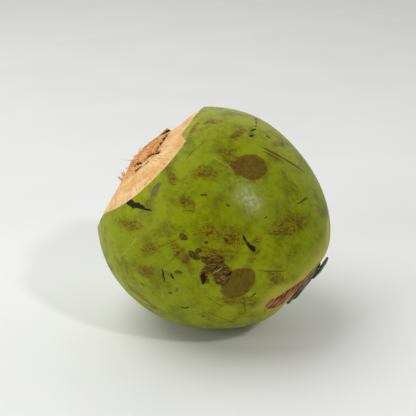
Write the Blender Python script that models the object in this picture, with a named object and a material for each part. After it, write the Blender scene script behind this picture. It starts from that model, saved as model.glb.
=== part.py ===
"""A green coconut for drinking: a rounded husk, topped by a few knife chops, with what is left of its
calyx round the stem end. It lies as it would on a table, on a small flat spot of its belly.

Metres, +Z up. The origin is the middle of the flat spot. Shapes are worked out in the fruit's own frame,
whose +Z runs along the axis from the stem end to the chopped end, and are then turned into place.
"""

import math

import bmesh
import bpy
from mathutils import Matrix, Vector

MM = 0.001

# The fruit's body: an ellipsoid with three soft ridges, whose stem end leans to one side.
BELLY_RADIUS = 86.0 * MM
TIP_LENGTH = 85.8 * MM
STEM_LENGTH = 94.6 * MM
RIDGES = 3
RIDGE_SWELL = 0.025
RIDGE_TURN = math.radians(3.4)
OVAL_SWELL = 0.01
OVAL_TURN = math.radians(7.0)
STEM_LEAN = Vector((17.8 * MM, -17.0 * MM))

# The stem end is blunt: a nearly flat seat, with a shallow dish where the stalk was.
SEAT_DEPTH = 92.8 * MM
SEAT_TILT = math.radians(12.5)
SEAT_TURN = math.radians(112.0)
SEAT_ROUNDING = 2.5 * MM
DISH_DEPTH = 2.0 * MM
DISH_RADIUS = 15.0 * MM

# Each chop of the knife: (tilt from the axis, direction round the axis, distance from the centre).
CHOPS = (
    (math.radians(18.7), math.radians(-52.7), 68.7 * MM),
    (math.radians(13.3), math.radians(19.2), 70.2 * MM),
    (math.radians(11.8), math.radians(80.5), 69.5 * MM),
    (math.radians(12.2), math.radians(-154.9), 71.6 * MM),
)
CHOP_BLEND = 1.2 * MM

# The torn fibre in the middle of the cut stands up as a low ridge.
TORN_RISE = 2.8 * MM
TORN_TURN = math.radians(10.0)
TORN_MIDDLE = (13.0 * MM, 1.5 * MM)
TORN_HALF_LENGTH = 21.0 * MM
TORN_HALF_WIDTH = 8.0 * MM

# How it lies: the axis leans back from upright, then the whole is turned a little about the vertical.
AXIS_LEAN = math.radians(52.0)
AXIS_TURN = math.radians(-13.1)
FLAT_SPOT_DEPTH = 0.9 * MM

# The calyx: scales in two layers on the seat, round the side that still has them.
SCALE_GAP = 0.5 * MM
SCALE_THICKNESS = 2.0 * MM
SCALE_EDGE = 0.7 * MM
SCALE_TAPER = 0.18
SCALE_CURVE_CENTRE = 30.0 * MM
# (layer, direction round the axis, distance from the stem's middle, half length, half width)
SCALES = (
    (0, math.radians(-50.0), 18.0 * MM, 13.5 * MM, 15.3 * MM),
    (0, math.radians(70.0), 18.0 * MM, 13.0 * MM, 15.3 * MM),
    (1, math.radians(8.0), 19.5 * MM, 13.0 * MM, 14.5 * MM),
    (1, math.radians(128.0), 18.5 * MM, 12.0 * MM, 13.5 * MM),
    (0, math.radians(-117.0), 22.0 * MM, 5.0 * MM, 6.0 * MM),
)

MERIDIANS = 72
SKIN_RINGS = 32
CUT_RINGS = 9
SCALE_RINGS = 5
SCALE_POINTS = 24


def remove_all_objects():
    for item in list(bpy.data.objects):
        bpy.data.objects.remove(item, do_unlink=True)


def plain_material(name, colour, roughness):
    material = bpy.data.materials.new(name)
    material.use_nodes = True
    shader = material.node_tree.nodes["Principled BSDF"]
    shader.inputs["Base Color"].default_value = (*colour, 1.0)
    shader.inputs["Roughness"].default_value = roughness
    shader.inputs["Metallic"].default_value = 0.0
    return material


def plane_height(x, y, tilt, turn, distance):
    """The height, over (x, y), of the plane with this normal and distance from the centre."""
    slope = math.tan(tilt)
    return distance / math.cos(tilt) - slope * (x * math.cos(turn) + y * math.sin(turn))


def chop_height(x, y):
    """The chopped end's height: the lowest of the chop planes, a little rounded where two meet."""
    heights = [plane_height(x, y, *chop) for chop in CHOPS]
    lowest = min(heights)
    spread = sum(math.exp((lowest - height) / CHOP_BLEND) for height in heights)
    return lowest - CHOP_BLEND * math.log(spread) + torn_rise(x, y)


def torn_rise(x, y):
    """How far the torn middle stands above the chops."""
    off_x = x - TORN_MIDDLE[0]
    off_y = y - TORN_MIDDLE[1]
    along = (off_x * math.cos(TORN_TURN) + off_y * math.sin(TORN_TURN)) / TORN_HALF_LENGTH
    across = (off_y * math.cos(TORN_TURN) - off_x * math.sin(TORN_TURN)) / TORN_HALF_WIDTH
    return TORN_RISE * math.exp(-(along**4) - across**2)


def seat_height(x, y):
    """The height of the blunt seat under the calyx, with the dish that the stalk left."""
    level = -plane_height(x, y, SEAT_TILT, SEAT_TURN + math.pi, SEAT_DEPTH)
    from_stalk = (Vector((x, y)) - STEM_LEAN).length
    return level + DISH_DEPTH * math.exp(-((from_stalk / DISH_RADIUS) ** 4))


def body_point(polar, around):
    """A point of the whole skin: polar is 0 at the chopped end and pi at the stem end."""
    height = math.cos(polar)
    width = math.sin(polar)
    ridges = RIDGE_SWELL * math.cos(RIDGES * (around - RIDGE_TURN))
    oval = OVAL_SWELL * math.cos(2 * (around - OVAL_TURN))
    radius = BELLY_RADIUS * width * (1 + (ridges + oval) * width)
    if height > 0:
        return Vector((radius * math.cos(around), radius * math.sin(around), TIP_LENGTH * height))
    x = radius * math.cos(around) + STEM_LEAN.x * height**2
    y = radius * math.sin(around) + STEM_LEAN.y * height**2
    z = STEM_LENGTH * height
    seat = seat_height(x, y)
    return Vector((x, y, seat + SEAT_ROUNDING * math.log1p(math.exp((z - seat) / SEAT_ROUNDING))))


def rim_polar(around):
    """Where the meridian in this direction meets the chops."""
    low = math.radians(10.0)
    high = math.radians(80.0)
    for _ in range(40):
        middle = (low + high) / 2
        point = body_point(middle, around)
        if point.z > chop_height(point.x, point.y):
            low = middle
        else:
            high = middle
    return (low + high) / 2


def add_ring(mesh, points):
    return [mesh.verts.new(point) for point in points]


def bridge(mesh, ring, next_ring):
    """Quads between two rings of as many points."""
    count = len(ring)
    for index in range(count):
        after = (index + 1) % count
        mesh.faces.new((ring[index], ring[after], next_ring[after], next_ring[index]))


def fan(mesh, ring, centre):
    """Triangles from the ring to one point in its middle."""
    tip = mesh.verts.new(centre)
    count = len(ring)
    for index in range(count):
        mesh.faces.new((ring[index], ring[(index + 1) % count], tip))


def husk_mesh():
    """The husk in the fruit's own frame: rings of skin down to the stem, and rings of cut to the middle."""
    mesh = bmesh.new()
    around = [math.tau * index / MERIDIANS for index in range(MERIDIANS)]
    rim_angles = [rim_polar(angle) for angle in around]
    skin = []
    for ring in range(SKIN_RINGS):
        share = ring / SKIN_RINGS
        points = []
        for angle, start in zip(around, rim_angles):
            points.append(body_point(start + (math.pi - start) * share, angle))
        skin.append(add_ring(mesh, points))
    for upper, lower in zip(skin, skin[1:]):
        bridge(mesh, lower, upper)
    fan(mesh, skin[-1][::-1], body_point(math.pi, 0.0))
    rim = [vertex.co.copy() for vertex in skin[0]]
    outer = skin[0]
    for ring in range(1, CUT_RINGS):
        share = 1 - ring / CUT_RINGS
        points = [Vector((p.x * share, p.y * share, chop_height(p.x * share, p.y * share))) for p in rim]
        inner = add_ring(mesh, points)
        bridge(mesh, outer, inner)
        outer = inner
    fan(mesh, outer, Vector((0.0, 0.0, chop_height(0.0, 0.0))))
    return mesh


def cut_flat_spot(mesh):
    """Shaves the lowest skin to a level flat spot and returns its middle."""
    lowest = min(vertex.co.z for vertex in mesh.verts)
    level = Vector((0.0, 0.0, lowest + FLAT_SPOT_DEPTH))
    everything = mesh.verts[:] + mesh.edges[:] + mesh.faces[:]
    cut = bmesh.ops.bisect_plane(
        mesh, geom=everything, plane_co=level, plane_no=Vector((0.0, 0.0, -1.0)), clear_outer=True
    )
    edges = [item for item in cut["geom_cut"] if isinstance(item, bmesh.types.BMEdge)]
    filled = bmesh.ops.contextual_create(mesh, geom=edges)
    flat = filled["faces"][0]
    for vertex in flat.verts:
        vertex.co.z = level.z
    return flat.calc_center_median()


def finish_object(mesh, name, material):
    bmesh.ops.recalc_face_normals(mesh, faces=mesh.faces[:])
    data = bpy.data.meshes.new(name)
    mesh.to_mesh(data)
    mesh.free()
    data.materials.append(material)
    data.shade_smooth()
    data.set_sharp_from_angle(angle=math.radians(30.0))
    item = bpy.data.objects.new(name, data)
    bpy.context.collection.objects.link(item)
    return item


def stem_skin_point(x, y, above):
    """A point this far above the skin, at (x, y) measured along the skin from the stem's middle."""
    from_stem = math.hypot(x, y)
    on_skin = body_point(math.pi - from_stem / BELLY_RADIUS, math.atan2(y, x))
    outward = (on_skin - Vector((*STEM_LEAN, -SCALE_CURVE_CENTRE))).normalized()
    return on_skin + outward * above


def scale_mesh(layer, turn, distance, half_length, half_width):
    """One calyx scale in the fruit's own frame: a thin shield that follows the skin below it."""
    mesh = bmesh.new()
    lift = SCALE_GAP + layer * (SCALE_THICKNESS + SCALE_GAP)

    def point(share, angle, above):
        along = distance + half_length * share * math.cos(angle)
        across = half_width * share * math.sin(angle) * (1 - SCALE_TAPER * math.cos(angle))
        x = along * math.cos(turn) - across * math.sin(turn)
        y = along * math.sin(turn) + across * math.cos(turn)
        return stem_skin_point(x, y, lift + above)

    def ring(share, above):
        return [point(share, math.tau * index / SCALE_POINTS, above) for index in range(SCALE_POINTS)]

    shares = [1 - index / SCALE_RINGS for index in range(SCALE_RINGS)]
    swell = SCALE_THICKNESS - SCALE_EDGE
    inner = [add_ring(mesh, ring(share, 0.0)) for share in shares]
    outer = [add_ring(mesh, ring(share, SCALE_EDGE + swell * (1 - share**2))) for share in shares]
    bridge(mesh, inner[0], outer[0])
    for first, second in zip(inner, inner[1:]):
        bridge(mesh, second, first)
    for first, second in zip(outer, outer[1:]):
        bridge(mesh, first, second)
    fan(mesh, inner[-1][::-1], point(0.0, 0.0, 0.0))
    fan(mesh, outer[-1], point(0.0, 0.0, SCALE_THICKNESS))
    return mesh


def build():
    remove_all_objects()
    skin_green = plain_material("green_husk_skin", (0.21, 0.25, 0.02), 0.4)
    calyx_green = plain_material("dark_calyx_scale", (0.03, 0.05, 0.02), 0.55)
    lying = Matrix.Rotation(AXIS_TURN, 4, "Z") @ Matrix.Rotation(-AXIS_LEAN, 4, "Y")

    husk = husk_mesh()
    husk.transform(lying)
    to_origin = Matrix.Translation(-cut_flat_spot(husk))
    husk.transform(to_origin)
    finish_object(husk, "husk", skin_green)

    for number, scale in enumerate(SCALES, 1):
        mesh = scale_mesh(*scale)
        mesh.transform(to_origin @ lying)
        finish_object(mesh, f"calyx_scale_{number}", calyx_green)


build()
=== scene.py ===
"""The look of a green drinking coconut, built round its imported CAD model."""

import math
import random

import bmesh
import bpy
from mathutils import Matrix, Vector, noise
from mathutils.bvhtree import BVHTree
from mathutils.kdtree import KDTree


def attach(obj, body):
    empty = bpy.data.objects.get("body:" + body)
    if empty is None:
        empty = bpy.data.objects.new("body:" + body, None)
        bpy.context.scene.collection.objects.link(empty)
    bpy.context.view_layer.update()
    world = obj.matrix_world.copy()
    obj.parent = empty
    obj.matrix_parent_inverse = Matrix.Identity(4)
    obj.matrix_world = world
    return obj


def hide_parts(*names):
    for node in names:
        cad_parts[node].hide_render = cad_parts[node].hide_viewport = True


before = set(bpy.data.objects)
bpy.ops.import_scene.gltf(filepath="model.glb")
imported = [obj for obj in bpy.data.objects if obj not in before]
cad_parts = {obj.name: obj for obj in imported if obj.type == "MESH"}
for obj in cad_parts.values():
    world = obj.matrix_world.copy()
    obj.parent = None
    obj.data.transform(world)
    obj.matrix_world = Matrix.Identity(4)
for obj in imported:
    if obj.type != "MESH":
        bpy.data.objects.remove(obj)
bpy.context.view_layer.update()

MM = 0.001

# The camera stands a little over half a metre from the fruit and looks down on it at 22 degrees,
# through a short telephoto lens.
CAMERA_AIM = Vector((0.0025, 0.0, 0.092))
CAMERA_DISTANCE = 0.636
CAMERA_RISE = math.radians(22.0)
camera_back = Vector((0.0, -math.cos(CAMERA_RISE), math.sin(CAMERA_RISE)))
bpy.ops.object.camera_add(
    location=CAMERA_AIM + camera_back * CAMERA_DISTANCE,
    rotation=(math.radians(90.0) - CAMERA_RISE, 0.0, 0.0),
)
camera = bpy.context.object
camera.data.lens = 70.0
camera.data.sensor_width = 36.0
bpy.context.scene.camera = camera

# ---------------------------------------------------------------------------------------------------
# The husk: the fruit's whole body, a tough waxy skin over pale damp fibre. One end was chopped with a
# few strokes of a big knife, which tore and split the middle; the other end keeps part of its calyx.
# It starts from the CAD husk, smoothed, then shaped in the fruit's own frame (+Z to the chopped end).

FRUIT_CENTRE = Vector((0.915 * MM, 4.772 * MM, 82.74 * MM))
AXIS_LEAN = math.radians(52.0)
AXIS_TURN = math.radians(-13.1)
lying = Matrix.Rotation(AXIS_TURN, 4, "Z") @ Matrix.Rotation(-AXIS_LEAN, 4, "Y")
from_fruit = Matrix.Translation(FRUIT_CENTRE) @ lying
to_fruit = from_fruit.inverted()

# Each chop: tilt from the axis, direction round the axis, distance from the fruit's centre.
CHOPS = (
    (math.radians(18.7), math.radians(-52.7), 68.7 * MM),
    (math.radians(13.3), math.radians(19.2), 70.2 * MM),
    (math.radians(11.8), math.radians(80.5), 69.5 * MM),
    (math.radians(12.2), math.radians(-154.9), 71.6 * MM),
)
CHOP_BLEND = 0.6 * MM
TORN_RISE = 2.8 * MM
TORN_TURN = math.radians(10.0)
TORN_MIDDLE = (13.0 * MM, 1.5 * MM)
TORN_HALF_LENGTH = 21.0 * MM
TORN_HALF_WIDTH = 8.0 * MM
# A crack or a hole: points along it on the cut, half width and depth.
CRACKS = (
    ((34, -1, 31, -5, 28, -9, 24, -15), 3.0 * MM, 7.0 * MM),
    ((28, -23, 20, -18, 14, -15, 10, -18), 2.0 * MM, 5.0 * MM),
    ((2, -14, 6, -16), 2.0 * MM, 4.0 * MM),
    ((4, -23, 8, -24), 1.8 * MM, 3.5 * MM),
    ((11, -27, 16, -25), 1.5 * MM, 3.0 * MM),
    ((-6, 6, 14, 12, 26, 10), 1.3 * MM, 3.5 * MM),
)
# Where a crack starts to get shallower and where it ends, in half widths from its middle.
CRACK_FLOOR, CRACK_EDGE = 0.35, 1.15
# Layers of noise: (cells per metre, height).
CRACK_WOBBLE = ((600, 0.5 * MM), (230, 1.1 * MM))
SKIN_UNEVENNESS = ((28, 0.35 * MM), (75, 0.12 * MM))


def chop_planes(x, y):
    """The height of each chop's plane over (x, y)."""
    return [
        distance / math.cos(tilt) - math.tan(tilt) * (x * math.cos(turn) + y * math.sin(turn))
        for tilt, turn, distance in CHOPS
    ]


def torn(x, y):
    """How torn the cut is at (x, y): 1 along its middle, falling to 0."""
    off_x = x - TORN_MIDDLE[0]
    off_y = y - TORN_MIDDLE[1]
    along = (off_x * math.cos(TORN_TURN) + off_y * math.sin(TORN_TURN)) / TORN_HALF_LENGTH
    across = (off_y * math.cos(TORN_TURN) - off_x * math.sin(TORN_TURN)) / TORN_HALF_WIDTH
    return math.exp(-(along**4) - across**2)


def chop_height(x, y):
    """The chopped end's height, before its fine relief."""
    heights = chop_planes(x, y)
    lowest = min(heights)
    spread = sum(math.exp((lowest - height) / CHOP_BLEND) for height in heights)
    return lowest - CHOP_BLEND * math.log(spread) + TORN_RISE * torn(x, y)


def smooth_step(low, high, value):
    """0 below low, 1 above high, and a soft rise between them."""
    share = min(max((value - low) / (high - low), 0.0), 1.0)
    return share * share * (3 - 2 * share)


def waves(layers, point):
    """The height of these layers of noise at a point."""
    return sum(noise.noise(point * cells) * height for cells, height in layers)


def crack_at(point):
    """(how far into a crack this point of the cut is from 0 to 1, the crack's depth there)."""
    deepest = (0.0, 0.0)
    wobble = waves(CRACK_WOBBLE, point)
    for line, half_width, depth in CRACKS:
        corners = [Vector((line[i] * MM, line[i + 1] * MM)) for i in range(0, len(line), 2)]
        for first, last in zip(corners, corners[1:]):
            span = last - first
            here = Vector((point.x, point.y)) - first
            share = min(max(here.dot(span) / span.length_squared, 0.0), 1.0)
            away = (here - span * share).length + wobble
            inside = 1.0 - smooth_step(CRACK_FLOOR * half_width, CRACK_EDGE * half_width, away)
            if inside * depth > deepest[0] * deepest[1]:
                deepest = (inside, depth)
    return deepest


MERGE_DISTANCE = 0.02 * MM
QUAD_ANGLE = math.radians(60)


def select_only(piece):
    """Makes this piece the active one, with nothing else selected."""
    bpy.ops.object.select_all(action="DESELECT")
    piece.select_set(True)
    bpy.context.view_layer.objects.active = piece


def copy_of(node, name):
    """A new object with a copy of this CAD node's mesh, merged and turned to quads."""
    piece = bpy.data.objects.new(name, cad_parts[node].data.copy())
    piece.data.name = name
    bpy.context.scene.collection.objects.link(piece)
    select_only(piece)
    bpy.ops.object.mode_set(mode="EDIT")
    bpy.ops.mesh.select_all(action="SELECT")
    bpy.ops.mesh.remove_doubles(threshold=MERGE_DISTANCE)
    bpy.ops.mesh.tris_convert_to_quads(face_threshold=QUAD_ANGLE, shape_threshold=QUAD_ANGLE)
    bpy.ops.object.mode_set(mode="OBJECT")
    return piece


def subdivide_smoothly(piece):
    """Rounds the active piece with two levels of subdivision."""
    smoothing = piece.modifiers.new("smoothing", "SUBSURF")
    smoothing.levels = smoothing.render_levels = 2
    bpy.ops.object.modifier_apply(modifier=smoothing.name)


husk = copy_of("husk", "husk_body")
husk.data.transform(to_fruit)

# The cut is every face that reaches the chops with all its corners and faces along the axis. Its rim is
# kept sharp.
SKIN, CUT = 0, 1
CUT_TOLERANCE = 2.0 * MM
CUT_FACING = 0.88
shape = bmesh.new()
shape.from_mesh(husk.data)
for face in shape.faces:
    over = min(corner.co.z - chop_height(corner.co.x, corner.co.y) for corner in face.verts)
    face.material_index = CUT if over > -CUT_TOLERANCE and face.normal.z > CUT_FACING else SKIN
    face.smooth = True
crease = shape.edges.layers.float.new("crease_edge")
for edge in shape.edges:
    edge.smooth = True
    if len(set(face.material_index for face in edge.link_faces)) == 2:
        edge[crease] = 1.0
shape.to_mesh(husk.data)
shape.free()
subdivide_smoothly(husk)

# The cut takes one more level, because it carries the finest relief.
bpy.ops.object.mode_set(mode="EDIT")
bpy.ops.mesh.select_all(action="DESELECT")
bpy.ops.object.mode_set(mode="OBJECT")
for face in husk.data.polygons:
    face.select = face.material_index == CUT
bpy.ops.object.mode_set(mode="EDIT")
bpy.ops.mesh.subdivide(number_cuts=1)
bpy.ops.object.mode_set(mode="OBJECT")

# The near chop ends in a shallow scoop, beside a tongue of skin that the next chop missed. The tongue's
# inner edge: (degrees round the axis, millimetres from it).
SCOOP_MIDDLE = Vector((47.0 * MM, -38.0 * MM))
SCOOP_REACH = 11.0 * MM
SCOOP_DEPTH = 1.8 * MM
TONGUE = ((-36, 70), (-33, 64), (-26, 56), (-19, 57.5), (-11.5, 61.5), (-6, 66), (-2, 72))
# The torn patch lies 13 mm nearer than the ridge it tore from, and is nearly twice as wide.
TEAR_SHIFT = 13.0 * MM
TEAR_SQUEEZE = 0.55
TEAR_RAGGEDNESS = 0.35
# Layers of grooves: (cells one way, cells the other way, slice of the noise, height). The blade's are
# per radian round the axis and per metre from it, the torn fibre's per metre along and across.
BLADE_GROOVES = ((70, 35, 0.0, 0.35 * MM), (22, 20, 4.0, 0.35 * MM))
FIBRE_GROOVES = ((120, 700, 1.0, 1.1 * MM), (420, 900, 7.0, 0.6 * MM))
# How far from the rim the relief reaches its full height on the cut and on the skin, how far the rim's
# own colour reaches, and where the skin rises clear of the flat spot.
CUT_FADE = 5.0 * MM
SKIN_FADE = 8.0 * MM
RIM_REACH = 10.0 * MM
CLEAR_OF_FLOOR = (0.2 * MM, 4.0 * MM)


def grooves(layers, first, second):
    """The height of these layers of grooves."""
    return sum(
        noise.noise(Vector((first * cells, second * others, part))) * height
        for cells, others, part, height in layers
    )


def on_tongue(x, y):
    """Whether this place on the cut is under the tongue of skin."""
    around = math.degrees(math.atan2(y, x))
    for (start, near), (end, far) in zip(TONGUE, TONGUE[1:]):
        if start <= around < end:
            return math.hypot(x, y) > (near + (far - near) * (around - start) / (end - start)) * MM
    return False


shape = bmesh.new()
shape.from_mesh(husk.data)
shape.normal_update()
rim_points = [
    vertex.co.copy() for vertex in shape.verts
    if len(set(face.material_index for face in vertex.link_faces)) == 2
]
rim_tree = KDTree(len(rim_points))
for index, point in enumerate(rim_points):
    rim_tree.insert(point, index)
rim_tree.balance()
cut_masks = []
for vertex in shape.verts:
    point = vertex.co
    on_cut = all(face.material_index == CUT for face in vertex.link_faces)
    from_rim = rim_tree.find(point)[2]
    tearing = crack_and_shade = 0.0
    if on_cut:
        fade = smooth_step(0.0, CUT_FADE, from_rim)
        around = math.atan2(point.y, point.x)
        radius = math.hypot(point.x, point.y)
        ragged = TEAR_RAGGEDNESS * noise.noise(point * 180)
        tearing = torn(point.x, (point.y + TEAR_SHIFT) * TEAR_SQUEEZE) + ragged
        tearing = smooth_step(0.12, 0.75, tearing)
        blade = grooves(BLADE_GROOVES, around, radius)
        fibre = grooves(FIBRE_GROOVES, point.x, point.y)
        crack_and_shade, depth = crack_at(point)
        from_scoop = (Vector((point.x, point.y)) - SCOOP_MIDDLE).length
        scoop = 1.0 - smooth_step(0.0, SCOOP_REACH, from_scoop)
        relief = blade * (1 - tearing) + fibre * tearing - crack_and_shade * depth - scoop * SCOOP_DEPTH
        point.z = chop_height(point.x, point.y) + fade * relief
    else:
        share = smooth_step(0.0, SKIN_FADE, from_rim)
        share *= smooth_step(*CLEAR_OF_FLOOR, (from_fruit @ point).z)
        point += vertex.normal * waves(SKIN_UNEVENNESS, point) * share
    cut_masks.append((tearing, crack_and_shade, min(from_rim / RIM_REACH, 1.0) if on_cut else 0.0))
for face in shape.faces:
    middle = face.calc_center_median()
    if face.material_index == CUT and on_tongue(middle.x, middle.y):
        face.material_index = SKIN
shape.to_mesh(husk.data)
shape.free()

# The husk's own measures, read by its materials: how torn, how deep in a crack (also the share of painted
# shade in the cracks), how far from the rim, the direction that the blade left its streaks in, and the
# place in the fruit's own frame.
for name, column in (("torn", 0), ("crack_and_shade", 1), ("from_rim", 2)):
    layer = husk.data.attributes.new(name, "FLOAT", "POINT")
    layer.data.foreach_set("value", [masks[column] for masks in cut_masks])
GRAIN_RADIUS = 50.0 * MM
grain = husk.data.attributes.new("grain", "FLOAT_VECTOR", "POINT")
for index, vertex in enumerate(husk.data.vertices):
    around = math.atan2(vertex.co.y, vertex.co.x)
    grain.data[index].vector = (around * GRAIN_RADIUS, math.hypot(vertex.co.x, vertex.co.y), vertex.co.z)
fruit_points = husk.data.attributes.new("fruit_place", "FLOAT_VECTOR", "POINT")
for index, vertex in enumerate(husk.data.vertices):
    fruit_points.data[index].vector = vertex.co
husk.data.transform(from_fruit)


def hex_colour(code):
    """An sRGB hex colour as linear red, green, blue, alpha."""
    values = [int(code[place:place + 2], 16) / 255 for place in (1, 3, 5)]
    return (*(v / 12.92 if v <= 0.04045 else ((v + 0.055) / 1.055) ** 2.4 for v in values), 1.0)


def add(tree, kind, inputs=None, **settings):
    """Adds a node with its settings, and sets or links its inputs. Text is a colour's hex code."""
    made = tree.nodes.new("ShaderNode" + kind)
    for name, value in settings.items():
        setattr(made, name, value)
    for key, value in (inputs or {}).items():
        if isinstance(value, bpy.types.NodeSocket):
            tree.links.new(value, made.inputs[key])
        else:
            made.inputs[key].default_value = hex_colour(value) if isinstance(value, str) else value
    return made


# Every mark on the skin runs from one place to another, each given as whole degrees round from the
# front towards +X and up from level, seen from the fruit's centre, with its half width in millimetres.
MARKS = {
    # A round pale waxy rub, partly a painted highlight where the front softbox's highlight falls.
    "pale_rub_and_highlight": ((23, 31, 26, 27, 12.5),),
    # Broad brown blotches, where the skin rubbed on another fruit.
    "blotch": (
        (29, 45, 35, 44, 11.0), (24, 45, 27, 45, 7.5),
        (13, -12, 17, -8, 11.2),
    ),
    # Greyish bruises.
    "bruise": (
        (-31, 30, -28, 36, 4.2), (-14, -15, -13, -14, 1.8), (27, -15, 28, -15, 1.2),
        (80, 46, 83, 44, 2.5),
    ),
    # Dark brown scabs and spots.
    "scab": (
        (-12, 13, -10, 12, 2.8), (-7, 5, -4, 3, 3.3), (-4, 6, -3, 6, 2.2),
        (0, 10, 1, 10, 1.6), (-14, -5, -12, -5, 1.8), (12, 28, 13, 27, 1.2), (-3, 33, 0, 33, 0.9),
        (49, 21, 59, 21, 0.9), (64, 56, 66, 54, 1.2), (6, -9, 11, -8, 1.5), (9, 12, 10, 10, 1.2),
    ),
    # A rough flaky bruise, where the skin peeled.
    "flaky": (
        (0, 2, 7, 1, 4.6), (2, -3, 9, -4, 6.6), (5, -8, 9, -9, 3.6), (-1, -5, 0, -9, 2.6),
    ),
    # The scar beside the calyx, where a bract was pulled away, and the yellow margin round it.
    "scar": (
        (32, -22, 38, -20, 7.0), (36, -19, 50, -14, 6.0), (46, -14, 57, -9, 3.4),
    ),
    "margin": (
        (31, -21, 42, -17, 16.0), (42, -16, 58, -8, 13.0), (62, -2, 70, 6, 6.0),
    ),
    # Near-black nicks and gouges.
    "gouge": (
        (-46, 24, -39, 23, 3.2), (-43, 24, -33, 23, 2.2), (-38, 23, -29, 23, 0.9),
        (18, 13, 20, 9, 1.0), (20, 9, 23, 5, 2.4), (-1, -5, -1, -10, 2.3),
        (-21, -4, -20, -11, 0.9), (-17, -6, -15, -9, 0.9), (-34, -15, -32, -17, 0.8),
        (-14, -27, -8, -25, 0.8),
        (-19, -18, -17, -17, 0.5), (21, -17, 23, -15, 0.8), (-2, -31, -1, -31, 0.5),
        (30, 19, 31, 19, 0.5),
        (86, 65, 90, 64, 1.0), (76, 64, 80, 64, 0.9), (67, 63, 70, 63, 0.8), (54, 62, 62, 62, 1.2),
        (45, 60, 51, 60, 1.0),
        (28, -22, 30, -27, 0.9), (60, -7, 54, -8, 0.8), (10, -6, 12, -4, 0.8), (3, -3, 6, -1, 0.9),
    ),
    # Long thin rusty scratches.
    "scratch": (
        (16, 50, 26, 46, 0.5), (14, 48, 24, 44, 0.5), (12, 53, 17, 49, 0.5), (20, 52, 27, 49, 0.5),
        (18, 44, 26, 43, 0.4),
        (-18, 73, -22, 65, 0.5), (-22, 65, -20, 58, 0.5),
        (49, 52, 60, 42, 1.5), (58, 44, 70, 30, 1.5), (47, 50, 57, 41, 1.0), (1, 62, -9, 57, 0.4),
        (-9, 57, -15, 51, 0.5),
        (23, -4, 38, -6, 0.5), (0, -17, 4, -20, 0.5), (4, -20, 9, -23, 0.5),
        (-18, -1, -9, 8, 0.35), (0, -26, 19, -36, 0.4),
        (18, -20, 20, -27, 0.4), (-16, 3, -10, 6, 0.35), (26, 13, 45, 8, 0.3),
        (12, 51, 18, 48, 0.5), (-25, 5, -12, 12, 0.3),
        (-47, -20, -12, -40, 0.4),
    ),
    # Pale scratches, which only took the wax off.
    "graze": (
        (-35, 9, -39, 3, 0.45), (-39, 3, -46, -5, 0.4), (6, 52, 12, 49, 0.5), (12, 49, 18, 46, 0.6),
        (3, -5, 8, -2, 0.45),
    ),
}
# Faint nets of rusty rubbing, given in the same way, over broad soft patches.
RUST = (
    (17, 47, 29, 46, 7.0), (-20, 66, -16, 74, 4.0), (24, 60, 50, 64, 4.0), (5, -18, 30, -20, 6.0),
    (0, 5, 12, 4, 8.0),
    (34, 13, 48, 13, 11.0), (-4, 15, 13, 14, 8.0), (-33, -7, -27, -7, 6.0),
    (-45, 13, -34, 15, 5.0), (0, 75, 30, 75, 4.5),
    (12, 55, 22, 54, 5.0), (-33, -31, -31, -34, 4.0), (-6, 44, 4, 44, 8.0),
    (-23, 41, -20, 38, 4.0), (10, 12, 16, 10, 8.0), (-16, 8, -8, 0, 6.0), (20, 0, 26, 10, 5.0),
    (-12, 30, -6, 26, 5.0), (-30, 2, -24, 6, 6.0),
    (28, -6, 38, -12, 5.0), (-45, -20, -30, -30, 4.0), (60, 50, 85, 47, 4.0),
    (150, 10, 170, 25, 9.0), (105, 0, 120, 10, 8.0),
    (-120, 20, -100, 5, 8.0), (190, -10, 200, 0, 9.0), (130, 40, 140, 50, 7.0),
    (-75, -25, -60, -15, 6.0),
)
husk_tree = BVHTree.FromObject(husk, bpy.context.evaluated_depsgraph_get())


def on_husk(turn, rise):
    """The place on the husk in this direction from the fruit's centre."""
    turn, rise = math.radians(turn), math.radians(rise)
    way = Vector((math.sin(turn) * math.cos(rise), -math.cos(turn) * math.cos(rise), math.sin(rise)))
    return husk_tree.ray_cast(FRUIT_CENTRE, way)[0]


def mark_area(tree, place, mark):
    """A value that is 1 in the middle of the mark and falls to 0 at its edge."""
    first, last = on_husk(*mark[0:2]), on_husk(*mark[2:4])
    half_width = mark[4] * MM
    middle = (first + last) / 2
    along = last - first
    outward = (middle - FRUIT_CENTRE).normalized()
    across = outward.cross(along).normalized()
    turned = Matrix((along.normalized(), across, along.cross(across).normalized())).transposed()
    mapping = add(
        tree, "Mapping",
        {
            "Vector": place,
            "Location": middle,
            "Rotation": turned.to_euler(),
            "Scale": (along.length / 2 + half_width, half_width, 30.0 * MM),
        },
        vector_type="TEXTURE",
    )
    ball = add(tree, "TexGradient", {"Vector": mapping.outputs[0]}, gradient_type="SPHERICAL")
    return ball.outputs["Fac"]


def marks_area(tree, place, marks):
    """The highest value of all these marks."""
    found = mark_area(tree, place, marks[0])
    for mark in marks[1:]:
        both = {0: found, 1: mark_area(tree, place, mark)}
        found = add(tree, "Math", both, operation="MAXIMUM").outputs[0]
    return found


SOFT = {"interpolation_type": "SMOOTHSTEP"}


def limits(value, low, high, least=0.0, most=1.0):
    """The inputs of a Map Range node that spreads the value from low..high to least..most."""
    return {"Value": value, "From Min": low, "From Max": high, "To Min": least, "To Max": most}


def marks_share(tree, place, marks, low, high):
    """How strongly these marks show: 0 where their value is low, and 1 where it is high."""
    area = marks_area(tree, place, marks)
    return add(tree, "MapRange", limits(area, low, high), **SOFT).outputs["Result"]


def tinted(tree, colour, tint, pattern, low, high, least=0.0, most=1.0):
    """The colour with a tint over it: its least share where the pattern is low, its most where high."""
    share = add(tree, "MapRange", limits(pattern, low, high, least, most), **SOFT).outputs["Result"]
    return add(tree, "Mix", {"Factor": share, 6: colour, 7: tint}, data_type="RGBA").outputs[2]


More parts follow.
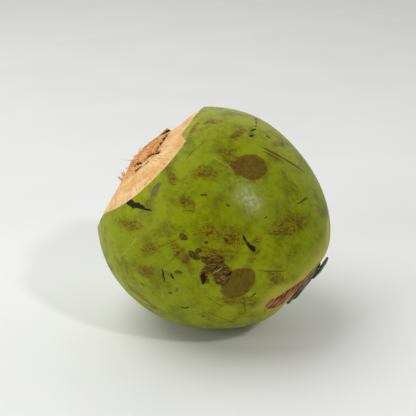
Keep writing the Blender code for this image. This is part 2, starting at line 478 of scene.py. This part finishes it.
def coated(tree, colour, coat, share, strength=1.0):
    """The colour with a coat over it, by this share times its strength."""
    cover = add(tree, "Math", {0: share, 1: strength}, operation="MULTIPLY").outputs[0]
    return add(tree, "Mix", {"Factor": cover, 6: colour, 7: coat}, data_type="RGBA").outputs[2]


def sums(tree, *terms):
    """The sum of (value, weight) terms."""
    total = None
    for value, weight in terms:
        part = add(tree, "Math", {0: value, 1: weight}, operation="MULTIPLY").outputs[0]
        if total is not None:
            part = add(tree, "Math", {0: total, 1: part}, operation="ADD").outputs[0]
        total = part
    return total


# Green coconut skin: smooth, tough and waxy, bright yellow-green, with faint lengthwise fibre under the
# wax, fine specks, the rubs, scabs and nicks of handling, and one pale rub that is partly a painted
# highlight.
skin = bpy.data.materials.new("waxy_green_coconut_skin")
skin.use_nodes = True
tree = skin.node_tree
shader = tree.nodes["Principled BSDF"]
place = add(tree, "TexCoord").outputs["Object"]
fruit_place = add(tree, "Attribute", attribute_name="fruit_place").outputs["Vector"]


def warped(tree, place, scale, reach):
    """The place, pushed about by noise of this scale and reach."""
    push = add(tree, "TexNoise", {"Vector": place, "Scale": scale, "Detail": 4.0, "Roughness": 0.6})
    centred = {0: push.outputs["Color"], 1: (0.5, 0.5, 0.5)}
    level = add(tree, "VectorMath", centred, operation="SUBTRACT").outputs[0]
    scaled = add(tree, "VectorMath", {0: level, "Scale": reach}, operation="SCALE").outputs[0]
    return add(tree, "VectorMath", {0: place, 1: scaled}, operation="ADD").outputs[0]


broad_place = warped(tree, place, 90.0, 9.0 * MM)
fine_place = warped(tree, place, 210.0, 4.0 * MM)

# Colour that wanders over a few centimetres, with fibre along the fruit and fine specks.
drift = add(tree, "TexNoise", {"Vector": place, "Scale": 14.0, "Detail": 3.0}).outputs["Fac"]
cloud = add(
    tree, "TexNoise", {"Vector": place, "Scale": 75.0, "Detail": 6.0, "Roughness": 0.65}
).outputs["Fac"]
fleck = add(
    tree, "TexNoise", {"Vector": place, "Scale": 420.0, "Detail": 4.0, "Roughness": 0.65}
).outputs["Fac"]
lengthwise = add(tree, "Mapping", {"Vector": fruit_place, "Scale": (520.0, 520.0, 45.0)}).outputs[0]
fibre = add(tree, "TexNoise", {"Vector": lengthwise, "Scale": 1.0, "Detail": 3.0}).outputs["Fac"]
colour = tinted(tree, "#869602", "#959e06", drift, 0.35, 0.65)
colour = tinted(tree, colour, "#656502", cloud, 0.42, 0.70, most=0.80)
colour = tinted(tree, colour, "#a0a512", fibre, 0.45, 0.70, most=0.25)
colour = tinted(tree, colour, "#656202", fleck, 0.54, 0.70, most=0.45)
colour = tinted(tree, colour, "#a2a81c", fleck, 0.30, 0.42, least=0.35, most=0.0)

# Rust nets: thin scribbled lines that run three ways, dense in broad soft patches and rare elsewhere.
# Each way: its turn, and its cells per metre along three axes.
rust_area = marks_area(tree, broad_place, RUST)
SCRIBBLES = (
    (0.4, (40.0, 270.0, 270.0)),
    (1.9, (45.0, 320.0, 220.0)),
    (2.9, (300.0, 50.0, 200.0)),
)
wavy_place = warped(tree, place, 60.0, 9.0 * MM)
scribble = None
for turn, stretch in SCRIBBLES:
    run_along = {"Vector": wavy_place, "Rotation": (turn, 0.5, turn * 2), "Scale": stretch}
    line_place = add(tree, "Mapping", run_along).outputs[0]
    wave = add(tree, "TexNoise", {"Vector": line_place, "Scale": 1.0, "Detail": 2.0, "Roughness": 0.6})
    off = add(tree, "Math", {0: wave.outputs["Fac"], 1: 0.56}, operation="SUBTRACT").outputs[0]
    off = add(tree, "Math", {0: off}, operation="ABSOLUTE").outputs[0]
    line = add(tree, "MapRange", limits(off, 0.004, 0.032, 1.0, 0.0), **SOFT).outputs["Result"]
    if scribble is not None:
        line = add(tree, "Math", {0: scribble, 1: line}, operation="MAXIMUM").outputs[0]
    scribble = line
patchy = add(tree, "TexNoise", {"Vector": place, "Scale": 48.0, "Detail": 4.0, "Roughness": 0.7})
in_patch = add(tree, "MapRange", limits(patchy.outputs["Fac"], 0.50, 0.66, 0.0, 0.7), **SOFT)
in_area = add(tree, "MapRange", limits(rust_area, 0.0, 0.5), **SOFT)
either = {0: in_area.outputs["Result"], 1: in_patch.outputs["Result"]}
rust_share = add(tree, "Math", either, operation="MAXIMUM").outputs[0]
net_share = add(tree, "Math", {0: scribble, 1: rust_share}, operation="MULTIPLY").outputs[0]
speckle = add(tree, "TexNoise", {"Vector": place, "Scale": 300.0, "Detail": 5.0, "Roughness": 0.7})
speckled = add(tree, "MapRange", limits(speckle.outputs["Fac"], 0.58, 0.68), **SOFT)
near_rust = add(tree, "MapRange", limits(rust_share, 0.0, 0.8, 0.15, 0.9), **SOFT)
both = {0: speckled.outputs["Result"], 1: near_rust.outputs["Result"]}
freckle = add(tree, "Math", both, operation="MULTIPLY").outputs[0]
colour = tinted(tree, colour, "#6f5a08", rust_area, 0.0, 0.7, most=0.42)
colour = coated(tree, colour, "#64400a", freckle, 0.75)
colour = coated(tree, colour, "#69390c", net_share, 0.90)

# A pale, speckled waxy rub on the shoulder, which is also a painted highlight where the front softbox's
# highlight falls.
pale_rub_and_highlight = marks_share(tree, broad_place, MARKS["pale_rub_and_highlight"], 0.0, 0.8)
fine = add(tree, "MapRange", limits(fleck, 0.38, 0.62, 0.20, 0.90), **SOFT).outputs["Result"]
rub_and_painted_highlight = add(tree, "Math", {0: pale_rub_and_highlight, 1: fine}, operation="MULTIPLY").outputs[0]
colour = coated(tree, colour, "#bcbd80", rub_and_painted_highlight)

# The marks, from the softest to the darkest.
scratch_place = warped(tree, place, 160.0, 1.5 * MM)
blotch = marks_share(tree, warped(tree, place, 150.0, 6.0 * MM), MARKS["blotch"], 0.04, 0.16)
bruise = marks_share(tree, broad_place, MARKS["bruise"], 0.05, 0.5)
scab = marks_share(tree, fine_place, MARKS["scab"], 0.05, 0.35)
gouge = marks_share(tree, fine_place, MARKS["gouge"], 0.05, 0.35)
scratch = marks_share(tree, scratch_place, MARKS["scratch"], 0.0, 0.30)
graze = marks_share(tree, fine_place, MARKS["graze"], 0.0, 0.35)
flaky = marks_share(tree, warped(tree, place, 190.0, 9.0 * MM), MARKS["flaky"], 0.05, 0.20)
blotch_colour = tinted(tree, "#594209", "#745813", fleck, 0.35, 0.62)
scab_colour = tinted(tree, "#33200a", "#6c4b1e", fleck, 0.4, 0.6)
layered = {"Vector": fine_place, "Rotation": (0.0, 0.6, 0.0), "Scale": (210.0, 300.0, 560.0)}
flake_place = add(tree, "Mapping", layered).outputs[0]
flake = add(
    tree, "TexNoise", {"Vector": flake_place, "Scale": 1.0, "Detail": 4.0, "Roughness": 0.7}
).outputs["Fac"]
flake_colour = tinted(tree, "#261406", "#6a4a18", flake, 0.40, 0.54)
flake_colour = tinted(tree, flake_colour, "#a07c3c", flake, 0.56, 0.66)
colour = coated(tree, colour, blotch_colour, blotch, 0.90)
colour = coated(tree, colour, "#6f5842", bruise, 0.80)
colour = coated(tree, colour, "#653d10", scratch, 0.85)
colour = coated(tree, colour, scab_colour, scab, 0.9)
colour = coated(tree, colour, flake_colour, flaky, 0.9)
colour = coated(tree, colour, "#b9a566", graze, 0.7)
colour = coated(tree, colour, "#1e120a", gouge, 0.96)

# The scar beside the calyx, pink-brown and fibrous, with a yellow-green border.
SCAR = {
    "Location": (14.5 * MM, -29.5 * MM, -91.0 * MM),
    "Scale": (27 * MM, 22 * MM, 60 * MM),
}
BORDER = {
    "Location": (17 * MM, -20 * MM, -92 * MM),
    "Scale": (62 * MM, 58 * MM, 55 * MM),
}
ragged_place = warped(tree, fruit_place, 110.0, 7.0 * MM)
scar_map = add(tree, "Mapping", {"Vector": ragged_place, **SCAR}, vector_type="TEXTURE").outputs[0]
scar_ball = add(tree, "TexGradient", {"Vector": scar_map}, gradient_type="SPHERICAL").outputs["Fac"]
near_scar = marks_area(tree, warped(tree, place, 150.0, 4.0 * MM), MARKS["scar"])
scar_value = add(tree, "Math", {0: scar_ball, 1: near_scar}, operation="MAXIMUM").outputs[0]
scar = add(tree, "MapRange", limits(scar_value, 0.04, 0.16), **SOFT).outputs["Result"]
border_map = add(tree, "Mapping", {"Vector": fruit_place, **BORDER}, vector_type="TEXTURE").outputs[0]
border_ball = add(tree, "TexGradient", {"Vector": border_map}, gradient_type="SPHERICAL").outputs["Fac"]
border_share = add(tree, "MapRange", limits(border_ball, 0.10, 0.40), **SOFT).outputs["Result"]
margin = marks_share(tree, broad_place, MARKS["margin"], 0.0, 0.5)
border = add(tree, "Math", {0: border_share, 1: margin}, operation="MAXIMUM").outputs[0]
torn_off = {"Vector": fruit_place, "Rotation": (0, 0, math.radians(25)), "Scale": (90.0, 620.0, 200.0)}
scar_grain = add(tree, "Mapping", torn_off).outputs[0]
scar_fibre = add(
    tree, "TexNoise", {"Vector": scar_grain, "Scale": 1.0, "Detail": 5.0, "Distortion": 0.6}
).outputs["Fac"]
scar_colour = tinted(tree, "#6a3322", "#b07a58", scar_fibre, 0.38, 0.62)
colour = coated(tree, colour, "#b8b03c", border, 0.80)
colour = coated(tree, colour, scar_colour, scar)
tree.links.new(colour, shader.inputs["Base Color"])

rough = sums(tree, (cloud, 0.16), (blotch, 0.12), (scab, 0.25), (gouge, 0.3), (scar, 0.35))
rough = add(tree, "Math", {0: rough, 1: 0.36}, operation="ADD").outputs[0]
tree.links.new(rough, shader.inputs["Roughness"])
flakes = add(tree, "Math", {0: flake, 1: flaky}, operation="MULTIPLY").outputs[0]
scar_fibres = add(tree, "Math", {0: scar_fibre, 1: scar}, operation="MULTIPLY").outputs[0]
height = sums(
    tree,
    (fleck, 0.10), (fibre, 0.05), (cloud, 0.25), (net_share, -0.12), (scratch, -0.25), (gouge, -0.9),
    (scab, 0.35), (scar, -0.3), (flakes, 1.6), (flaky, -0.5), (scar_fibres, 0.9),
)
bump = add(tree, "Bump", {"Height": height, "Distance": 0.9 * MM, "Strength": 0.55})
tree.links.new(bump.outputs[0], shader.inputs["Normal"])
# Wax has an IOR of about 1.44. The dust and bloom on it dull that, so it is set lower.
shader.inputs["IOR"].default_value = 1.22

# Freshly cut husk: pale, damp, packed fibre that the blade left streaked from the rim inwards, orange and
# ragged where it tore, and painted near black down in the cracks as their shade.
cut = bpy.data.materials.new("cut_coconut_husk_fibre")
cut.use_nodes = True
tree = cut.node_tree
shader = tree.nodes["Principled BSDF"]
place = add(tree, "TexCoord").outputs["Object"]
grain_place = add(tree, "Attribute", attribute_name="grain").outputs["Vector"]
fruit_place = add(tree, "Attribute", attribute_name="fruit_place").outputs["Vector"]
torn_share = add(tree, "Attribute", attribute_name="torn").outputs["Fac"]
crack_painted_shade = add(tree, "Attribute", attribute_name="crack_and_shade").outputs["Fac"]
rim_distance = add(tree, "Attribute", attribute_name="from_rim").outputs["Fac"]
streak_place = add(tree, "Mapping", {"Vector": grain_place, "Scale": (1400.0, 110.0, 200.0)}).outputs[0]
streak = add(tree, "TexNoise", {"Vector": streak_place, "Scale": 1.0, "Detail": 3.0}).outputs["Fac"]
ribbon_place = add(tree, "Mapping", {"Vector": fruit_place, "Scale": (110.0, 900.0, 500.0)}).outputs[0]
ribbon = add(
    tree, "TexNoise", {"Vector": ribbon_place, "Scale": 1.0, "Detail": 5.0, "Roughness": 0.65}
).outputs["Fac"]
cloud = add(tree, "TexNoise", {"Vector": place, "Scale": 70.0, "Detail": 4.0}).outputs["Fac"]
colour = tinted(tree, "#edc98c", "#e2ab60", cloud, 0.38, 0.65)
colour = tinted(tree, colour, "#c98a42", streak, 0.46, 0.62, most=0.75)
torn_colour = tinted(tree, "#c96f20", "#e8ab62", ribbon, 0.36, 0.56)
torn_colour = tinted(tree, torn_colour, "#9c4a0e", ribbon, 0.36, 0.44, least=1.0, most=0.0)
torn_colour = tinted(tree, torn_colour, "#c2691c", ribbon, 0.60, 0.68, most=0.7)
colour = coated(tree, colour, torn_colour, torn_share)
colour = tinted(tree, colour, "#c3c683", rim_distance, 0.04, 0.13, least=0.8, most=0.0)
# Painted shade: near black down in the cracks.
colour = tinted(tree, colour, "#1d0e06", crack_painted_shade, 0.04, 0.30)
tree.links.new(colour, shader.inputs["Base Color"])
shader.inputs["Roughness"].default_value = 0.62
height = sums(tree, (streak, 0.5), (ribbon, 1.2))
bump = add(tree, "Bump", {"Height": height, "Distance": 0.7 * MM, "Strength": 0.6})
tree.links.new(bump.outputs[0], shader.inputs["Normal"])

husk.data.materials[SKIN] = skin
husk.data.materials.append(cut)
husk.data.shade_smooth()
select_only(husk)
bpy.ops.object.shade_smooth_by_angle(angle=math.radians(38))
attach(husk, "root")
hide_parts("husk")

# ---------------------------------------------------------------------------------------------------
# The calyx scales: tough dark green bracts left round the stem, dry and brown at their torn edges.
# Each starts from its CAD scale, smoothed, with a ragged edge and ribs, and bent down a little at its rim.

scale_green = bpy.data.materials.new("dark_green_calyx_bract")
scale_green.use_nodes = True
tree = scale_green.node_tree
shader = tree.nodes["Principled BSDF"]
place = add(tree, "TexCoord").outputs["Object"]
edge_share = add(tree, "Attribute", attribute_name="edge").outputs["Fac"]
mottle = add(tree, "TexNoise", {"Vector": place, "Scale": 160.0, "Detail": 5.0}).outputs["Fac"]
rib_and_sheen = add(tree, "TexNoise", {"Vector": place, "Scale": 600.0, "Detail": 3.0}).outputs["Fac"]
colour = tinted(tree, "#31470f", "#65782f", mottle, 0.35, 0.65)
# The grey-green tint along the ribs is a painted sheen; the ribs' bump below is their real ribbing.
colour = tinted(tree, colour, "#7a8468", rib_and_sheen, 0.52, 0.68, most=0.4)
edge_place = add(tree, "Math", {0: edge_share, 1: mottle}, operation="ADD").outputs[0]
colour = tinted(tree, colour, "#5a3a1c", edge_place, 1.34, 1.55)
tree.links.new(colour, shader.inputs["Base Color"])
shader.inputs["Roughness"].default_value = 0.5
height = sums(tree, (mottle, 0.6), (rib_and_sheen, 0.4))
bump = add(tree, "Bump", {"Height": height, "Distance": 0.6 * MM, "Strength": 0.5})
tree.links.new(bump.outputs[0], shader.inputs["Normal"])

# The stem's middle in the fruit's frame, how far the bracts draw in round it, how much their inner and
# outer faces drop towards the edge, and how ragged the edge is.
STEM_MIDDLE = Vector((17.8 * MM, -17.0 * MM))
DRAWN_IN = 0.12
INNER_DROP, OUTER_DROP = 0.1 * MM, 0.7 * MM
EDGE_IN = 0.04
EDGE_RAGGEDNESS = 0.26
RIB_HEIGHT = 0.25 * MM
for number in range(1, 6):
    scale = copy_of(f"calyx_scale_{number}", f"calyx_bract_{number}")
    subdivide_smoothly(scale)
    scale.data.transform(to_fruit)
    middle = sum((v.co for v in scale.data.vertices), Vector()) / len(scale.data.vertices)
    reach = max((v.co - middle).xy.length for v in scale.data.vertices)
    own_noise = Vector((number * 7, 0, 0))
    finer_noise = Vector((number * 7, 3, 0))
    shares = []
    facing_out = [vertex.normal.z < 0 for vertex in scale.data.vertices]
    for vertex, outer in zip(scale.data.vertices, facing_out):
        flat = Vector((vertex.co.x - middle.x, vertex.co.y - middle.y, 0.0))
        share = flat.length / reach
        ragged = noise.noise(flat.normalized() * 2.6 + own_noise) * 0.5
        ragged += noise.noise(flat.normalized() * 9 + finer_noise) * 0.35
        from_stem = Vector((vertex.co.x - STEM_MIDDLE.x, vertex.co.y - STEM_MIDDLE.y, 0.0))
        vertex.co -= from_stem * DRAWN_IN
        vertex.co.z -= (OUTER_DROP if outer else INNER_DROP) * smooth_step(0.1, 0.9, share)
        vertex.co -= flat * smooth_step(0.45, 1.0, share) * (EDGE_IN + EDGE_RAGGEDNESS * ragged)
        vertex.co.z += noise.noise(vertex.co * 160) * RIB_HEIGHT
        shares.append(share)
    layer = scale.data.attributes.new("edge", "FLOAT", "POINT")
    layer.data.foreach_set("value", shares)
    scale.data.transform(from_fruit)
    scale.data.materials.clear()
    scale.data.materials.append(scale_green)
    scale.data.shade_smooth()
    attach(scale, "root")
    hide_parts(f"calyx_scale_{number}")

# ---------------------------------------------------------------------------------------------------
# The torn strip: a splinter of husk fibre that stands up along the middle of the cut, beyond the crack,
# and ends in a point. It is one thin ragged blade, rooted in the cut.

STRIP_START = Vector((-1.0 * MM, 1.0 * MM))
STRIP_END = Vector((35.5 * MM, 4.5 * MM))
STRIP_STEPS = 44
STRIP_LEVELS = 6
STRIP_ROOT = 1.5 * MM
STRIP_WANDER = 0.6 * MM
STRIP_LEAN = 1.0 * MM
# Each side of the blade, and its own slice of the noise.
STRIP_SIDES = ((-1, 5), (1, 9))
random.seed(11)
strip_shape = bmesh.new()
run = STRIP_END - STRIP_START
side = Vector((-run.y, run.x)).normalized()
rings = []
root_shades = []
for step in range(STRIP_STEPS + 1):
    share = step / STRIP_STEPS
    middle = STRIP_START + run * share
    swell = 1 + 0.30 * noise.noise(Vector((share * 9, 0, 0)))
    rise = (0.4 + 0.9 * share + 2.2 * smooth_step(0.72, 1.0, share)) * MM * swell
    thick = (2.6 * math.sin(math.pi * (share * 0.86 + 0.07)) + 0.3) * MM
    base = chop_height(middle.x, middle.y) - STRIP_ROOT
    ring = []
    for hand, part in STRIP_SIDES:
        for level in range(STRIP_LEVELS + 1)[::-hand]:
            up = level / STRIP_LEVELS
            wander = noise.noise(Vector((share * 14, up * 3, part))) * STRIP_WANDER
            width = thick * (1 - 0.8 * up)
            spot = middle + side * (hand * width / 2 + wander - STRIP_LEAN * up)
            ring.append(strip_shape.verts.new((spot.x, spot.y, base + (rise + STRIP_ROOT) * up)))
            # Painted shade: a share for the near side of the blade's back half, low down, where it stands
            # in shade.
            root_shade = smooth_step(0.50, 0.70, share) * (1 - smooth_step(0.50, 0.80, up))
            root_shades.append(root_shade if hand < 0 else 0.0)
    rings.append(ring)
count = len(rings[0])
for first, last in zip(rings, rings[1:]):
    for index in range(count):
        after = (index + 1) % count
        strip_shape.faces.new((first[index], first[after], last[after], last[index]))
strip_shape.faces.new(rings[0][::-1])
strip_shape.faces.new(rings[-1])
bmesh.ops.recalc_face_normals(strip_shape, faces=strip_shape.faces[:])
strip = bpy.data.objects.new("torn_fibre_strip", bpy.data.meshes.new("torn_fibre_strip"))
strip_shape.to_mesh(strip.data)
strip_shape.free()
bpy.context.scene.collection.objects.link(strip)
layer = strip.data.attributes.new("root_shade", "FLOAT", "POINT")
layer.data.foreach_set("value", root_shades)
strip.data.transform(from_fruit)
strip.data.shade_smooth()

torn_fibre = bpy.data.materials.new("torn_orange_husk_fibre")
torn_fibre.use_nodes = True
tree = torn_fibre.node_tree
shader = tree.nodes["Principled BSDF"]
place = add(tree, "TexCoord").outputs["Object"]
turned = add(tree, "Mapping", {"Vector": place, "Rotation": lying.to_euler()}, vector_type="TEXTURE")
along = {"Vector": turned.outputs[0], "Scale": (120.0, 1100.0, 900.0)}
ribbon_place = add(tree, "Mapping", along).outputs[0]
ribbon = add(
    tree, "TexNoise", {"Vector": ribbon_place, "Scale": 1.0, "Detail": 5.0, "Roughness": 0.65}
).outputs["Fac"]
colour = tinted(tree, "#d07a2c", "#f0bd80", ribbon, 0.36, 0.58)
colour = tinted(tree, colour, "#b9621a", ribbon, 0.60, 0.70, most=0.6)
# Painted shade low on the blade's near side, near black, with its edge broken up by the fibre's noise.
root_shade = add(tree, "Attribute", attribute_name="root_shade").outputs["Fac"]
shade_edge_noise = add(tree, "MapRange", limits(ribbon, 0.3, 0.7, -0.2, 0.2), **SOFT).outputs["Result"]
root_shade = add(tree, "Math", {0: root_shade, 1: shade_edge_noise}, operation="ADD").outputs[0]
colour = tinted(tree, colour, "#1f0f07", root_shade, 0.22, 0.42)
tree.links.new(colour, shader.inputs["Base Color"])
shader.inputs["Roughness"].default_value = 0.7
bump = add(tree, "Bump", {"Height": ribbon, "Distance": 0.8 * MM, "Strength": 0.7})
tree.links.new(bump.outputs[0], shader.inputs["Normal"])
strip.data.materials.append(torn_fibre)
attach(strip, "root")
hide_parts("husk")

# ---------------------------------------------------------------------------------------------------
# Loose fibres: single strands of coir that the knife pulled out of the torn middle and the rim. Each is
# a thin bent thread, rooted in the cut.

# Points along each strand in the fruit's frame, in millimetres, with its half thickness.
STRANDS = [
    (((6, -5, 66.5), (1.5, -7, 72), (-1.6, -8, 75.3), (-4, -9, 79)), 0.24),
    (((-1.6, -9, 66), (-1.4, -8.4, 70), (-1.2, -8, 74)), 0.18),
    (((-8, -11.4, 70), (-6.2, -10.3, 74), (-4.8, -9.4, 76)), 0.13),
]
for index in range(12):
    root = Vector((random.uniform(-15, -8), random.uniform(-18, -11), 0))
    root.z = chop_height(root.x * MM, root.y * MM) / MM - 0.6
    tip = root + Vector((random.uniform(-2.5, 2.5), random.uniform(-2.5, 2.5), random.uniform(2.5, 5.5)))
    STRANDS.append(((root, (root + tip) / 2 + Vector((0.5, -0.3, 0.3)), tip), 0.33))
for index in range(70):
    root = Vector((random.uniform(-8, 34), random.uniform(-26, 6), 0))
    root.z = chop_height(root.x * MM, root.y * MM) / MM - 0.8
    length = random.uniform(2.0, 6.5)
    way = Vector((random.uniform(-1, 1), random.uniform(-0.5, 0.5), random.uniform(0.15, 0.6))).normalized()
    bow = Vector((0, 0, random.uniform(0.2, 1.0)))
    tip = root + way * length
    STRANDS.append(((root, root + way * length * 0.5 + bow, tip), random.uniform(0.16, 0.34)))
# The small orange nub that hangs at the lowest corner of the rim.
for index in range(5):
    root = Vector((-33.5 + index * 0.5, -49.5 - index * 0.3, 60.6))
    STRANDS.append(((root, root + Vector((-0.6, -1.0, -1.0)), root + Vector((-0.4, -1.4, -3.2))), 0.42))

strand_curves = bpy.data.curves.new("loose_coir_strands", "CURVE")
strand_curves.dimensions = "3D"
strand_curves.bevel_depth = 1.0 * MM
strand_curves.bevel_resolution = 1
strand_curves.resolution_u = 5
strand_curves.use_fill_caps = True
for points, half_thickness in STRANDS:
    spline = strand_curves.splines.new("NURBS")
    spline.points.add(len(points) - 1)
    spline.order_u = 3
    spline.use_endpoint_u = True
    for index, (spot, source) in enumerate(zip(spline.points, points)):
        spot.co = (*(from_fruit @ (Vector(source) * MM)), 1.0)
        spot.radius = half_thickness * (1.0 if index < len(points) - 1 else 0.45)
strands = bpy.data.objects.new("loose_coir_strands", strand_curves)
bpy.context.scene.collection.objects.link(strands)
select_only(strands)
bpy.ops.object.convert(target="MESH")
strands = bpy.context.object
strands.data.materials.clear()
strands.data.materials.append(torn_fibre)
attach(strands, "root")
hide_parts("husk")

# ---------------------------------------------------------------------------------------------------
# The studio: a wide matt white floor under a big softbox overhead to the left, with a softer one at the
# left, a small one high at the front right, and one on the background.

bpy.ops.object.select_all(action="DESELECT")
bpy.ops.mesh.primitive_plane_add(size=60.0, location=(0.0, 0.0, 0.0))
floor = bpy.context.object
floor.name = "studio_floor"
paper = bpy.data.materials.new("matt_white_studio_board")
paper.use_nodes = True
tree = paper.node_tree
shader = tree.nodes["Principled BSDF"]
place = add(tree, "TexCoord").outputs["Object"]
tone = add(tree, "TexNoise", {"Vector": place, "Scale": 6.0, "Detail": 3.0}).outputs["Fac"]
tree.links.new(tinted(tree, "#eaebe9", "#edeeec", tone, 0.3, 0.7), shader.inputs["Base Color"])
shader.inputs["Roughness"].default_value = 0.9
shader.inputs["Specular IOR Level"].default_value = 0.2
floor.data.materials.append(paper)

LIT_PLACE = Vector((0, 0, 0.08))


def add_softbox(name, direction, distance, size, power):
    """A round softbox that shines at the fruit from this direction: metres and watts."""
    way = Vector(direction).normalized()
    lamp = bpy.data.lights.new(name, "AREA")
    lamp.shape = "DISK"
    lamp.size = size
    lamp.energy = power
    holder = bpy.data.objects.new(name, lamp)
    holder.location = LIT_PLACE + way * distance
    holder.rotation_euler = way.to_track_quat("Z", "Y").to_euler()
    bpy.context.scene.collection.objects.link(holder)


add_softbox("overhead_softbox", (-0.50, 0.06, 1.0), 2.6, 2.4, 38.0)
add_softbox("left_softbox", (-0.78, -0.55, 0.34), 1.7, 0.8, 8.0)
add_softbox("front_softbox", (0.52, -0.54, 0.67), 1.6, 0.16, 6.0)
add_softbox("background_softbox", (0.0, 2.6, 1.8), 3.2, 2.4, 9.0)

# The room: pale all round, and dark behind the camera.
world = bpy.data.worlds.new("studio_room")
world.use_nodes = True
tree = world.node_tree
way = add(tree, "TexCoord").outputs["Generated"]
towards = add(tree, "VectorMath", {0: way, 1: camera_back}, operation="DOT_PRODUCT").outputs["Value"]
room = add(tree, "MapRange", limits(towards, -0.15, 0.30, 0.86, 0.02), **SOFT).outputs["Result"]
tree.links.new(room, tree.nodes["Background"].inputs["Strength"])
tree.nodes["Background"].inputs["Color"].default_value = (1.0, 1.0, 1.0, 1.0)
bpy.context.scene.world = world
bpy.context.scene.view_settings.view_transform = "Standard"
